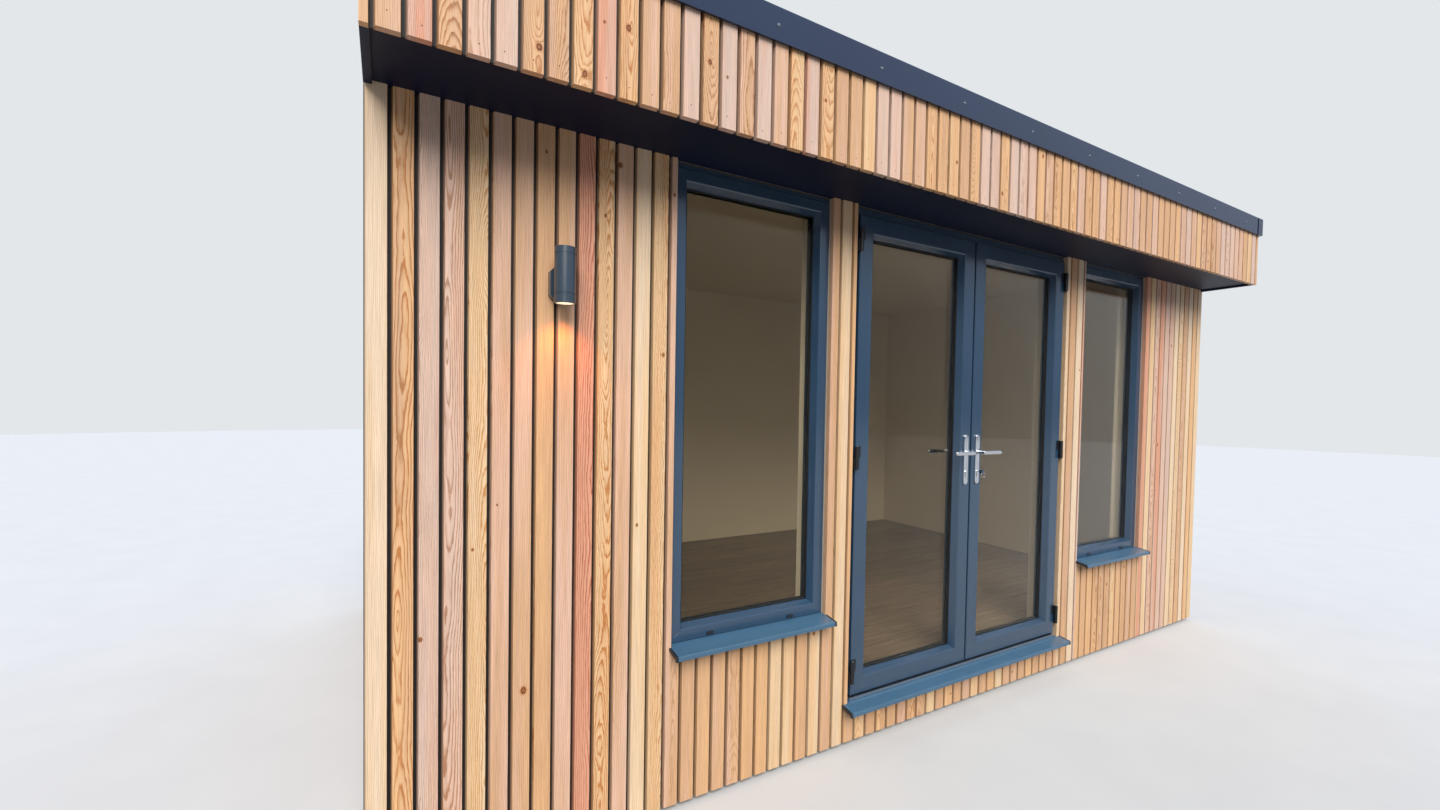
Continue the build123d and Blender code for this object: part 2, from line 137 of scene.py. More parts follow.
# Seamless studio sheet: matt paper, with a faint mottle of a few hundred millimetres. It
# is seen pale, but throws back only a fifth of the light that falls on it.
studio_sheet = mottled("studio_sheet", "#c9caca", "#d1d2d1", 3.0, Roughness=0.9)
tree = studio_sheet.node_tree
base_colour = tree.nodes["Principled BSDF"].inputs["Base Color"]
paper = base_colour.links[0].from_socket
path = add(tree, "ShaderNodeLightPath")
direct = add(tree, "ShaderNodeMath", {0: path.outputs["Is Camera Ray"],
                                      1: path.outputs["Is Transmission Ray"]},
             operation="MAXIMUM")
direct = add(tree, "ShaderNodeMath", {0: path.outputs["Is Glossy Ray"], 1: 0.6,
                                      2: direct.outputs[0]}, operation="MULTIPLY_ADD")
sheet_tone = add(tree, "ShaderNodeMix", {0: direct.outputs[0], 6: paint("#82807d"), 7: paper},
                 data_type="RGBA")
tree.links.new(sheet_tone.outputs[2], base_colour)
floor_reach = 30
ring = [(floor_reach * math.cos(turn), floor_reach * math.sin(turn), 0)
        for turn in [step * math.tau / 64 for step in range(64)]]
sheet = mesh_piece("studio_floor", ring, [tuple(range(64))], studio_sheet)

world = bpy.data.worlds.new("studio")
world.use_nodes = True
scene.world = world
tree = world.node_tree
tree.nodes.clear()
path = add(tree, "ShaderNodeLightPath")
seen = add(tree, "ShaderNodeMath", {0: path.outputs["Is Camera Ray"],
                                    1: path.outputs["Is Transmission Ray"]}, operation="MAXIMUM")
# The surround lights the building from high up, brighter from the right, and evenly from
# behind. In front it is dim low down, but less so in what glossy faces mirror.
way = add(tree, "ShaderNodeTexCoord")
way = add(tree, "ShaderNodeSeparateXYZ", {0: way.outputs["Generated"]})
high = add(tree, "ShaderNodeMapRange", {"Value": way.outputs[2], "From Min": 0.0,
                                        "From Max": 0.6, "To Min": 0.07, "To Max": 0.75})
across = add(tree, "ShaderNodeMapRange", {"Value": way.outputs[0], "From Min": -0.9,
                                          "From Max": 0.8, "To Min": 0.75, "To Max": 1.35})
behind = add(tree, "ShaderNodeMapRange", {"Value": way.outputs[1], "From Min": 0.1,
                                          "From Max": 0.7, "To Min": 0.0, "To Max": 0.5})
level = add(tree, "ShaderNodeMath", {0: high.outputs[0], 1: across.outputs[0],
                                     2: behind.outputs[0]}, operation="MULTIPLY_ADD")
level = add(tree, "ShaderNodeMath", {0: path.outputs["Is Glossy Ray"], 1: 0.16,
                                     2: level.outputs[0]}, operation="MULTIPLY_ADD")
shown = add(tree, "ShaderNodeBackground", {"Color": paint("#e3e7ea"), "Strength": 1.0})
light = add(tree, "ShaderNodeBackground", {"Color": paint("#dce8ff"),
                                           "Strength": level.outputs[0]})
choice = add(tree, "ShaderNodeMixShader", {0: seen.outputs[0], 1: light.outputs[0],
                                           2: shown.outputs[0]})
add(tree, "ShaderNodeOutputWorld", {"Surface": choice.outputs[0]})

lamp_data = bpy.data.lights.new("soft_lamp", "SUN")
lamp_data.energy = 3.5
lamp_data.angle = math.radians(44)
lamp_data.color = paint("#fffaf2")[:3]
soft_lamp = bpy.data.objects.new("soft_lamp", lamp_data)
soft_lamp.rotation_euler = Vector((-0.27, -0.72, 0.66)).to_track_quat("Z", "Y").to_euler()
scene.collection.objects.link(soft_lamp)


# Base. Four sawn softwood bearers carry an insulated floor base and its chipboard deck.
# They are pressure treated, and hardly seen once the boards are on.
def dress(material, *nodes):
    """Give carried-over CAD pieces their material."""
    for name in nodes:
        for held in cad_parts[name].material_slots:
            held.material = material


# Sawn softwood, treated green: long streaks of grain, and saw marks across it, drawn
# 16 mm apart, twice as coarse as they are.
treated_softwood = mottled("treated_softwood", "#6e6543", "#a89b6c", 1.0, 6.0, (3, 60, 60),
                           Roughness=0.85)
tree = treated_softwood.node_tree
place = add(tree, "ShaderNodeTexCoord")
saw = add(tree, "ShaderNodeTexWave", {"Vector": place.outputs["Object"], "Scale": 20.0,
                                      "Distortion": 2.0}, bands_direction="X")
bump = add(tree, "ShaderNodeBump", {"Height": saw.outputs["Fac"], "Strength": 0.5,
                                    "Distance": 0.0006})
tree.links.new(bump.outputs[0], tree.nodes["Principled BSDF"].inputs["Normal"])
dress(treated_softwood, "base_bearers", "floor_base", "canopy_framing")

# Flooring chipboard: pale flakes of 2 to 6 mm pressed with resin.
chipboard, tree, shader = finish_of("chipboard", Roughness=0.8)
place = add(tree, "ShaderNodeTexCoord")
flake = add(tree, "ShaderNodeTexVoronoi", {"Vector": place.outputs["Object"], "Scale": 250.0})
tone = add(tree, "ShaderNodeValToRGB", {"Fac": flake.outputs["Color"]})
tone.color_ramp.elements[0].color = paint("#a8875c")
tone.color_ramp.elements[1].color = paint("#cdb189")
tree.links.new(tone.outputs["Color"], shader.inputs["Base Color"])
dress(chipboard, "floor_deck", "roof_deck")


# Floor covering. Click-together laminate planks, 1.2 m by 190 mm, laid lengthwise along
# the building, in a dark grey-brown oak print with a satin wear layer.
laminate, tree, shader = finish_of("laminate", Roughness=0.38)
place = add(tree, "ShaderNodeTexCoord")
plank = add(tree, "ShaderNodeTexBrick", {"Vector": place.outputs["Object"], "Scale": 1.0,
                                         "Color1": paint("#8b7c6e"), "Color2": paint("#9c8d7e"),
                                         "Mortar": paint("#3a322c"), "Mortar Size": 0.0015,
                                         "Mortar Smooth": 0.2, "Brick Width": 1.2,
                                         "Row Height": 0.19}, offset=0.37)
along = add(tree, "ShaderNodeMapping", {"Vector": place.outputs["Object"], "Scale": (4, 90, 1)})
grain = add(tree, "ShaderNodeTexNoise", {"Vector": along.outputs[0], "Scale": 1.0, "Detail": 8.0,
                                         "Distortion": 0.6})
shade = add(tree, "ShaderNodeValToRGB", {"Fac": grain.outputs["Fac"]})
shade.color_ramp.elements[0].position = 0.3
shade.color_ramp.elements[0].color = paint("#7d746c")
shade.color_ramp.elements[1].position = 0.72
shade.color_ramp.elements[1].color = paint("#ffffff")
both = add(tree, "ShaderNodeMix", {0: 0.8, 6: plank.outputs["Color"], 7: shade.outputs["Color"]},
           data_type="RGBA", blend_type="MULTIPLY")
bump = add(tree, "ShaderNodeBump", {"Height": plank.outputs["Fac"], "Strength": 0.6,
                                    "Distance": 0.001}, invert=True)
tree.links.new(both.outputs[2], shader.inputs["Base Color"])
tree.links.new(bump.outputs[0], shader.inputs["Normal"])
dress(laminate, "floor_covering")


# Walls and ceiling. Insulated panels, and the header over the openings, lined with
# plasterboard and painted a warm white.
def emboss(material, scale, strength, height, detail=2.0, stretch=(1, 1, 1)):
    """A relief up to height metres over a noise of this scale."""
    tree = material.node_tree
    place = add(tree, "ShaderNodeTexCoord")
    spot = add(tree, "ShaderNodeMapping", {"Vector": place.outputs["Object"], "Scale": stretch})
    noise = add(tree, "ShaderNodeTexNoise", {"Vector": spot.outputs[0], "Scale": scale,
                                             "Detail": detail})
    bump = add(tree, "ShaderNodeBump", {"Height": noise.outputs["Fac"], "Strength": strength,
                                        "Distance": height})
    tree.links.new(bump.outputs[0], tree.nodes["Principled BSDF"].inputs["Normal"])


# Emulsion on plasterboard: matt, with the stipple of a roller, about 2 mm.
wall_paint = mottled("wall_paint", "#d8cdba", "#e2d8c6", 2.5, 3.0, Roughness=0.75)
emboss(wall_paint, 500.0, 0.25, 0.0003)
dress(wall_paint, "front_wall_panels", "front_wall_under_windows", "front_wall_header",
      "side_walls", "back_wall", "ceiling")


# Boards. Kiln-dried larch, 62 mm to the next one, each planed with a flat face, a sloping
# left side and a tongue that closes the groove to its neighbour. They are nailed upright
# through the tongue, and oiled once.
# Oiled larch: creamy, honey or salmon wood that the saw cut through its own growth rings,
# so each board shows its own arches or lines, with fine fibre and now and then a knot.
oiled_larch, tree, shader = finish_of("oiled_larch", Roughness=0.6)

# Each board's points carry, in metres, where they lie in the stick (across, deep, along),
# the way there from the log's heart (across, deep), the board's looks (tone, contrast,
# ring width), its knot (across, 0, along) and the knot's radius.
held = {}
for name in ("stick", "heart", "looks", "knot"):
    held[name] = add(tree, "ShaderNodeAttribute", attribute_name=name).outputs["Vector"]
knot_radius = add(tree, "ShaderNodeAttribute", attribute_name="knot_radius").outputs["Fac"]
stick = add(tree, "ShaderNodeSeparateXYZ", {0: held["stick"]}).outputs
looks = add(tree, "ShaderNodeSeparateXYZ", {0: held["looks"]}).outputs

# Noises, each with how many of its grains lie in a metre across and along the board, and
# its detail. Fibres are drawn 3 mm wide, twice as coarse as they are.
noises = {}
for name, over, along, detail in (("bend", 0.5, 0.9, 1.0), ("ripple", 13, 6, 1.0),
                                  ("tremble", 150, 24, 2.0), ("patch", 14, 1.6, 1.0),
                                  ("hue", 22, 0.7, 2.0), ("fibre", 330, 7, 3.0),
                                  ("streak", 60, 1.4, 2.0), ("bark", 220, 160, 1.0)):
    spot = add(tree, "ShaderNodeVectorMath", {0: held["stick"], 1: (over, over, along)},
               operation="MULTIPLY")
    noises[name] = add(tree, "ShaderNodeTexNoise", {"Vector": spot.outputs[0], "Scale": 1.0,
                                                    "Detail": detail}).outputs

# How many radii away the board's knot is. A knot is a third longer than wide, and the
# rings swell round it.
knot_pull = 0.75
flat = add(tree, "ShaderNodeVectorMath", {0: held["stick"], 1: (1, 0, knot_pull)},
           operation="MULTIPLY")
away = add(tree, "ShaderNodeVectorMath", {0: flat.outputs[0], 1: held["knot"]},
           operation="DISTANCE")
spread = add(tree, "ShaderNodeMath", {0: away.outputs["Value"], 1: knot_radius},
             operation="DIVIDE")
swell = add(tree, "ShaderNodeMath", {0: 0.64, 1: spread.outputs[0]}, operation="POWER")
swell = add(tree, "ShaderNodeMath", {0: swell.outputs[0], 1: knot_radius}, operation="MULTIPLY")
swell = add(tree, "ShaderNodeCombineXYZ", {1: swell.outputs[0]})

# Growth rings. The heart wanders along the stick, so the saw cuts the rings into arches.
heart = add(tree, "ShaderNodeVectorMath", {0: held["stick"], 1: (1, 1, 0), 2: held["heart"]},
            operation="MULTIPLY_ADD")
for noise, reach in ((noises["bend"]["Color"], (0.07, 0.2, 0)),
                     (noises["ripple"]["Color"], (0.006, 0.016, 0)),
                     (swell.outputs[0], (0, 2.2, 0))):
    heart = add(tree, "ShaderNodeVectorMath", {0: noise, 1: reach, 2: heart.outputs[0]},
                operation="MULTIPLY_ADD")
reach = add(tree, "ShaderNodeVectorMath", {0: heart.outputs[0]}, operation="LENGTH")
reach = add(tree, "ShaderNodeMath", {0: noises["tremble"]["Fac"], 1: 0.004,
                                     2: reach.outputs["Value"]}, operation="MULTIPLY_ADD")
ring = add(tree, "ShaderNodeMath", {0: reach.outputs[0], 1: looks[2]}, operation="DIVIDE")
ring = add(tree, "ShaderNodeMath", {0: ring.outputs[0]}, operation="FRACT")
late = add(tree, "ShaderNodeValToRGB", {"Fac": ring.outputs[0]})
late.color_ramp.elements[0].color = (0.5, 0.5, 0.5, 1)
late.color_ramp.elements[1].color = (0.9, 0.9, 0.9, 1)
for at, value in ((0.1, 0.05), (0.5, 0.1), (0.74, 0.4), (0.88, 1.0)):
    late.color_ramp.elements.new(at).color = (value, value, value, 1)
patch = add(tree, "ShaderNodeMath", {0: noises["patch"]["Fac"], 1: 1.5, 2: 0.2},
            operation="MULTIPLY_ADD")
strength = add(tree, "ShaderNodeMath", {0: patch.outputs[0], 1: looks[1]}, operation="MULTIPLY")
late = add(tree, "ShaderNodeMath", {0: late.outputs["Color"], 1: strength.outputs[0]},
           operation="MULTIPLY")

# Early and late wood in seven tones: cream, straw, honey, tan, rosy, greyed pink, salmon.
tones = (("#f3dcc0", "#d6a878"), ("#f0cfa4", "#ca9258"), ("#eec08e", "#c37d42"),
         ("#e0b48c", "#ae784a"), ("#ebc4ac", "#bb8766"), ("#e3c8b8", "#ad8870"),
         ("#e5a98a", "#bb6a4b"))
hue = add(tree, "ShaderNodeMath", {0: noises["hue"]["Fac"], 1: 0.7, 2: looks[0]},
          operation="MULTIPLY_ADD")
wood = []
for side in (0, 1):
    made = add(tree, "ShaderNodeValToRGB", {"Fac": hue.outputs[0]})
    made.color_ramp.elements[0].color = paint(tones[0][side])
    made.color_ramp.elements[1].color = paint(tones[-1][side])
    for number in range(1, len(tones) - 1):
        stop = made.color_ramp.elements.new(number / (len(tones) - 1))
        stop.color = paint(tones[number][side])
    wood.append(made.outputs["Color"])
wood = add(tree, "ShaderNodeMix", {0: late.outputs[0], 6: wood[0], 7: wood[1]},
           data_type="RGBA")

# Darker fibres and streaks. Painted shade: the board's sloping side is darkened and the bottom
# of its groove made near black, where shade falls between the boards.
fibre = add(tree, "ShaderNodeMapRange", {"Value": noises["fibre"]["Fac"], "From Min": 0.2,
                                         "From Max": 0.8, "To Min": 0.76, "To Max": 1.14})
streak = add(tree, "ShaderNodeMapRange", {"Value": noises["streak"]["Fac"], "From Min": 0.2,
                                          "From Max": 0.8, "To Min": 0.92, "To Max": 1.06})
# Painted shade: darker down the sloping side, near black in the groove's bottom.
painted_groove_shade = add(tree, "ShaderNodeMapRange", {"Value": stick[0], "From Min": -0.057,
                                          "From Max": -0.047})
painted_groove_shade = add(tree, "ShaderNodeValToRGB", {"Fac": painted_groove_shade.outputs[0]})
painted_groove_shade.color_ramp.elements[0].color = (0.01, 0.01, 0.01, 1)
painted_groove_shade.color_ramp.elements[1].color = (1, 1, 1, 1)
for at, value in ((0.38, 0.012), (0.43, 0.4), (0.76, 0.72), (0.86, 1.0)):
    painted_groove_shade.color_ramp.elements.new(at).color = (value, value, value, 1)

# Knots: a tan heart inside a dark ring of bark.
edge = add(tree, "ShaderNodeMath", {0: noises["bark"]["Fac"], 1: 0.5, 2: spread.outputs[0]},
           operation="MULTIPLY_ADD")
edge = add(tree, "ShaderNodeMapRange", {"Value": edge.outputs[0], "From Min": 0.25,
                                        "From Max": 2.25})
knots = add(tree, "ShaderNodeValToRGB", {"Fac": edge.outputs[0]})
knots.color_ramp.elements[0].color = paint("#6d4429")
knots.color_ramp.elements[1].color = paint("#ffffff")
for at, code in ((0.1, "#c89a6c"), (0.3, "#b98a60"), (0.42, "#4a2d1e"), (0.5, "#6b452d"),
                 (0.6, "#e8cdab")):
    knots.color_ramp.elements.new(at).color = paint(code)
for shade in (fibre.outputs[0], streak.outputs[0], painted_groove_shade.outputs[0], knots.outputs[0]):
    wood = add(tree, "ShaderNodeMix", {0: 1.0, 6: wood.outputs[2], 7: shade},
               data_type="RGBA", blend_type="MULTIPLY")
rise = add(tree, "ShaderNodeMath", {0: late.outputs[0], 1: noises["fibre"]["Fac"]},
           operation="ADD")
bump = add(tree, "ShaderNodeBump", {"Height": rise.outputs[0], "Strength": 0.3,
                                    "Distance": 0.0004})
tree.links.new(wood.outputs[2], shader.inputs["Base Color"])
tree.links.new(bump.outputs[0], shader.inputs["Normal"])


def cut_to(outline, low, high):
    """The part of a board's outline between two places across the wall."""
    for limit, keep in ((low, 1), (high, -1)):
        kept = []
        for at, (x1, d1) in enumerate(outline):
            x0, d0 = outline[at - 1]
            if (x0 - limit) * keep * ((x1 - limit) * keep) < 0:
                kept.append((limit, d0 + (d1 - d0) * (limit - x0) / (x1 - x0)))
            if (x1 - limit) * keep >= 0:
                kept.append((x1, d1))
        outline = kept
    return outline


def common_board(chance, tones):
    """One board of a mixed delivery: mostly plain, some arched, some feathered."""
    any_of = chance.uniform
    tone = chance.choice(tones)
    kind = chance.random()
    ring = any_of(3, 5)
    if kind < 0.45:
        return tone, any_of(0.3, 0.6), chance.choice((-75, 70, 110)), 20, ring
    if kind < 0.75:
        return tone, any_of(0.5, 0.9), any_of(-14, 14), any_of(14, 34), ring
    return tone, any_of(0.4, 0.8), chance.choice((-34, 32)), any_of(5, 25), ring


def lofted(name, solids, material, body, ring=False):
    """A piece of closed solids, each given as outlines of one count that are joined in turn.

    The first and last outline close a solid, or are joined too if it is a ring."""
    points = []
    faces = []
    for outlines in solids:
        base = len(points)
        count = len(outlines[0])
        points += [point for outline in outlines for point in outline]
        starts = list(range(base, len(points), count))
        for here, above in zip(starts, starts[1:] + (starts[:1] if ring else [])):
            for at in range(count):
                after = (at + 1) % count
                faces.append((here + at, here + after, above + after, above + at))
        if not ring:
            faces.append(tuple(reversed(range(base, base + count))))
            faces.append(tuple(range(starts[-1], len(points))))
    made = mesh_piece(name, points, faces, material)
    shape = bmesh.new()
    shape.from_mesh(made.data)
    bmesh.ops.recalc_face_normals(shape, faces=shape.faces)
    shape.to_mesh(made.data)
    shape.free()
    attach(made, body)
    return made


# From one board's right edge to the next, and the tones of a mixed delivery.
pitch = 0.062
mixed = (0, 0.1, 0.17, 0.3, 0.4, 0.5, 0.6, 0.7, 0.85, 1)


def boards(name, spans, first, place, chosen, tones=mixed):
    """Upright boards over each span (from, to, bottom, top), on one grid of right edges.

    place turns (across, deep, high) into a point of the frame. chosen gives boards by their
    number a (tone, contrast, heart across, heart deep, ring width in mm), and after them
    its knot's (way in from the right edge, height, radius in mm) if it shows one."""
    # Its section, in mm across from the right edge and deep from the face.
    face = ((0, 20), (0, 1.2), (-0.4, 0.4), (-1.2, 0), (-47.7, 0), (-48.5, 0.3), (-49, 1),
            (-53, 14), (-62, 14), (-62, 20))
    # The noises of the wood add 38 mm across, 108 mm deep and 0.35 of a tone on average, and
    # the middle of a face lies 25 mm in from the edge.
    heart_across = 0.013
    heart_deep = 0.108
    mean_tone = 0.35
    out_of_sight = (9, 9, 0)
    chance = random.Random(name)
    solids = []
    values = {"stick": [], "heart": [], "looks": [], "knot": []}
    radii = []
    for low, high, bottom, top in spans:
        number = math.ceil((low - first) / pitch - 1e-6)
        while first + (number - 1) * pitch < high - 1e-6:
            edge = first + number * pitch
            outline = [(edge + x / 1000, depth / 1000) for x, depth in face]
            outline = cut_to(outline, low, high)
            common = common_board(chance, tones)
            tone, contrast, heart, deep, ring, *own_knot = chosen.get(number, common)
            start = chance.uniform(0, 300)
            knot_across = chance.uniform(-0.045, -0.01)
            knot = (knot_across, 0, knot_pull * (start + chance.uniform(bottom, top)))
            radius = chance.uniform(0.0025, 0.005)
            if chance.random() > 0.1 + 0.12 * (top - bottom):
                knot = out_of_sight
            if own_knot:
                inward, height, size = own_knot
                knot = (-inward / 1000, 0, knot_pull * (start + height / 1000))
                radius = size / 1000
            number += 1
            if len(outline) < 3:
                continue
            solids.append([])
            for level in (bottom, top):
                solids[-1].append([place(x, depth, level) for x, depth in outline])
                for x, depth in outline:
                    values["stick"].append((x - edge, depth, start + level))
                    values["heart"].append((-heart / 1000 - heart_across,
                                            deep / 1000 - heart_deep, 0))
                    values["looks"].append((tone - mean_tone, contrast, ring / 1000))
                    values["knot"].append(knot)
                    radii.append(radius)
    made = lofted(name, solids, oiled_larch, "building")
    for key, rows in values.items():
        layer = made.data.attributes.new(key, "FLOAT_VECTOR", "POINT")
        layer.data.foreach_set("vector", [part for row in rows for part in row])
    layer = made.data.attributes.new("knot_radius", "FLOAT", "POINT")
    layer.data.foreach_set("value", radii)
    return made


# The front wall's boards, in order from the left corner, and those beside the door.
seen_boards = {0: (0.05, 0.6, 60, 20, 4), 1: (0.37, 1.3, -9, 20, 6),
               2: (0.8, 0.9, -34, 16, 3.6, 45, 742, 4), 3: (0.68, 1.4, -14, 24, 5.5),
               4: (0.15, 1.3, 30, 18, 4), 5: (0.62, 0.7, -80, 12, 4, 34, 1099, 2),
               6: (0.54, 0.5, 100, 20, 5, 19, 537, 7), 7: (0.42, 0.8, -70, 15, 4),
               8: (0.58, 0.5, 90, 12, 5), 9: (1.08, 1.2, 40, 24, 5), 10: (0.24, 1.5, 6, 20, 3.6),
               11: (0.6, 0.5, -52, 12, 5), 12: (0.13, 0.4, 85, 20, 5, 36, 1002, 3.4),
               13: (0.22, 1.0, 36, 20, 3.6, 12, 1562, 4), 14: (0.62, 0.5, -60, 10, 4),
               25: (0.5, 0.7, 70, 15, 4), 26: (0.15, 0.6, -70, 15, 5), 27: (0.4, 0.5, 60, 15, 4)}

# The boards keep 2 mm clear of the frames, and the first is cut to 54 mm at the corner.
gap = 0.002
wall_low, wall_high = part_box("front_cladding")
window_l = [side.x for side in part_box("window_frame_left")]
window_r = [side.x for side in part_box("window_frame_right")]
doorway = [side.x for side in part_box("door_frame")]
front_y = wall_low.y
half_width = wall_high.x
grid = -half_width + 0.054
front_spans = [(-half_width, window_l[0] - gap), (window_l[1] + gap, doorway[0] - gap),
               (doorway[1] + gap, window_r[0] - gap), (window_r[1] + gap, half_width)]
front_boards = boards("front_boards", [(a, b, wall_low.z, wall_high.z) for a, b in front_spans],
                      grid, lambda x, deep, z: (x, front_y + deep, z), seen_boards)
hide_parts("front_cladding")

# Shorter boards under the windows and the door, cut 11 mm under each seat.
under_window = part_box("front_cladding_under_openings")[1].z
under_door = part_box("door_sill")[1].z - 0.01125
low_spans = [(window_l[0] - gap, window_l[1] + gap, wall_low.z, under_window),
             (window_r[0] - gap, window_r[1] + gap, wall_low.z, under_window),
             (doorway[0] - gap, doorway[1] + gap, wall_low.z, under_door)]
low_boards = boards("front_boards_under_openings", low_spans, grid,
                    lambda x, deep, z: (x, front_y + deep, z), {},
                    (0.16, 0.24, 0.3, 0.34, 0.37, 0.4, 0.44, 0.48, 0.5))
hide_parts("front_cladding_under_openings")


# The side and back walls repeat the front's boards up to the roof trim.
def end_boards(node, left_name, right_name):
    """Boards on the building's two ends, where the node is. The left ones stand for it."""
    low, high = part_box(node)
    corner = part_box("side_cladding")[0].y
    left = boards(left_name, [(-high.y, -low.y, low.z, high.z)], -corner,
                  lambda a, deep, z: (deep - half_width, -a, z), {})
    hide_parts(node)
    boards(right_name, [(low.y, high.y, low.z, high.z)], corner + pitch,
           lambda a, deep, z: (half_width - deep, a, z), {})


end_boards("side_cladding", "left_side_boards", "right_side_boards")
back_low, back_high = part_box("back_cladding")
back_boards = boards("back_boards", [(-half_width, half_width, back_low.z, back_high.z)], grid,
                     lambda a, deep, z: (-a, back_high.y - deep, z), {})
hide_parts("back_cladding")


# Canopy. A box over the front wall, faced with short boards that hang 10 mm below its
# soffit, and closed by a dark soffit board. The boards are nailed near their lower ends.
fascia_low, fascia_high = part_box("fascia_cladding")
seen_fascia = {1: (0.45, 0.5, 80, 20, 4), 2: (0.95, 0.7, -60, 12, 4), 3: (0.42, 1.2, 12, 20, 5),
               4: (0.7, 0.9, -14, 26, 5), 5: (0.76, 0.5, 70, 15, 4),
               6: (0.5, 1.1, 14, 24, 4.5, 12, 2272, 6), 7: (0.55, 1.0, 30, 18, 3.5),
               8: (0.3, 1.1, 10, 20, 4, 21, 2240, 6), 9: (0.96, 0.5, -70, 15, 4),
               10: (0.24, 1.2, 0, 22, 4.5, 28, 2395, 6), 11: (0.5, 0.5, 80, 15, 5),
               12: (0.5, 1.0, -30, 18, 3.6), 13: (0.74, 0.5, 60, 15, 4),
               14: (0.4, 1.0, 8, 18, 4.5, 29, 2382, 5), 15: (0.78, 0.6, -60, 15, 4),
               16: (0.55, 1.1, 12, 26, 5), 17: (0.78, 0.5, 75, 12, 4), 18: (0.6, 0.4, 70, 20, 4),
               19: (0.24, 1.0, -8, 20, 4), 20: (0.9, 0.5, 60, 12, 4)}
fascia_grid = grid - 0.036
fascia_boards = boards("fascia_boards", [(-half_width, half_width, fascia_low.z, fascia_high.z)],
                       fascia_grid, lambda x, deep, z: (x, fascia_low.y + deep, z), seen_fascia,
                       (0.25, 0.35, 0.42, 0.46, 0.5, 0.55, 0.6, 0.7, 0.75))
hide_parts("fascia_cladding")
end_boards("canopy_end_cladding", "canopy_left_end_boards", "canopy_right_end_boards")


def turned(name, outline, places, material, body, sides=16):
    """Like small turned pieces: an outline of (radius, rise) in mm at each (point, direction)."""
    solids = []
    for point, direction in places:
        turn = Vector(direction).to_track_quat("Z", "Y").to_matrix()
        solids.append([])
        for radius, rise in outline:
            solids[-1].append([])
            for step in range(sides):
                angle = step * math.tau / sides
                spot = Vector((radius * math.cos(angle), radius * math.sin(angle), rise)) / 1000
                solids[-1][-1].append(Vector(point) + turn @ spot)
    made = lofted(name, solids, material, body)
    for part in made.data.polygons:
        part.use_smooth = len(part.vertices) == 4


# Stainless steel ring-shank nail, its bright head dulled by the oil round it.
nail_steel = mottled("nail_steel", "#2c231d", "#5d5249", 900.0, Metallic=1.0, Roughness=0.4)
# One nail a board, near the middle of its face and 24 to 40 mm above its lower end.
chance = random.Random("nails")
nail_spots = []
edge_clear = 0.01
for number in range(77):
    across = fascia_grid + number * pitch - 0.026 + chance.uniform(-0.006, 0.006)
    if across > -half_width + edge_clear:
        height = fascia_low.z + chance.uniform(0.024, 0.04)
        nail_spots.append(((across, fascia_low.y + 0.0004, height), (0, -1, 0)))
turned("fascia_nails", [(1.9, -0.8), (1.9, 0.3), (1.4, 0.6), (0.5, 0.7)], nail_spots, nail_steel,
       "building", 10)

# Soffit board: smooth exterior board with a dark blue-grey foil.
soffit_board = mottled("foiled_soffit_board", "#080f24", "#0d1734", 1.0, 4.0, (6, 140, 30),
                       Roughness=0.5, Specular_IOR_Level=0.25)
dress(soffit_board, "soffit")


# Roof. A single sheet of rubber membrane on the deck, turned up behind folded aluminium
# trims that cap all four edges. The trims are screwed through their outer leg.
# Rubber membrane: matt black-grey, dusty, lying in faint waves of 200 mm.
rubber_membrane = mottled("rubber_membrane", "#393a3d", "#454547", 3.0, 8.0, ends=(0.35, 0.7),
                          Roughness=0.8)
emboss(rubber_membrane, 5.0, 0.6, 0.006)
dress(rubber_membrane, "roof_covering")

# Powder-coated aluminium, anthracite: even and glossy, with a slight orange-peel of 3 mm.
# Its specular is tinted blue: a painted reflection of a blue sky.
coated_trim = mottled("powder_coated_trim", "#232b39", "#293344", 1.2, Roughness=0.14,
                      Specular_IOR_Level=1.0, Specular_Tint=paint("#a9bbe6"))
emboss(coated_trim, 330.0, 0.08, 0.0004)
dress(coated_trim, "roof_trim_front", "roof_trim_back", "roof_trim_sides")

# The trims' faces lie 3 mm behind the corner covers, which give the node's box. Eleven
# screws hold each long trim and seven each short one, 47 mm above its lower edge.
cover = 0.003
long_step = 0.432
short_step = 0.443
trim_low, trim_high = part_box("roof_trim_front")
face_front = trim_low.y + cover
face_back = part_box("roof_trim_back")[1].y - cover
face_side = trim_high.x - cover
screw_z = trim_low.z + 0.047
screw_spots = []
for number in range(11):
    across = -2.16 + number * long_step
    screw_spots.append(((across, face_front, screw_z), (0, -1, 0)))
    screw_spots.append(((across, face_back, screw_z), (0, 1, 0)))
for number in range(7):
    along_y = face_front + 0.22 + number * short_step
    screw_spots.append(((-face_side, along_y, screw_z), (-1, 0, 0)))
    screw_spots.append(((face_side, along_y, screw_z), (1, 0, 0)))

# Coated screw: a low domed head on a washer, rubbed paler than its coat in spots.
coated_screw = mottled("coated_screw", "#2b323c", "#8c97a6", 700.0, Roughness=0.25, Metallic=0.2)
turned("trim_screws", [(6.5, 0), (6.5, 0.5), (4.8, 0.8), (4.5, 1.9), (3.2, 2.6), (1.2, 2.9)],
       screw_spots, coated_screw, "building")


def framed(name, rects, outline, material, body, filled=False):
    """Loops mitred at their corners: an outline of (inward, deep) in mm, taken round each
    rectangle (left, right, bottom, top, y)."""
    solids = []
    for left, right, bottom, top, y in rects:
        solids.append([])
        for inward, deep in outline:
            step = inward / 1000
            corners = ((left + step, bottom + step), (right - step, bottom + step),
                       (right - step, top - step), (left + step, top - step))
            solids[-1].append([(x, y + deep / 1000, z) for x, z in corners])
    return lofted(name, solids, material, body, not filled)


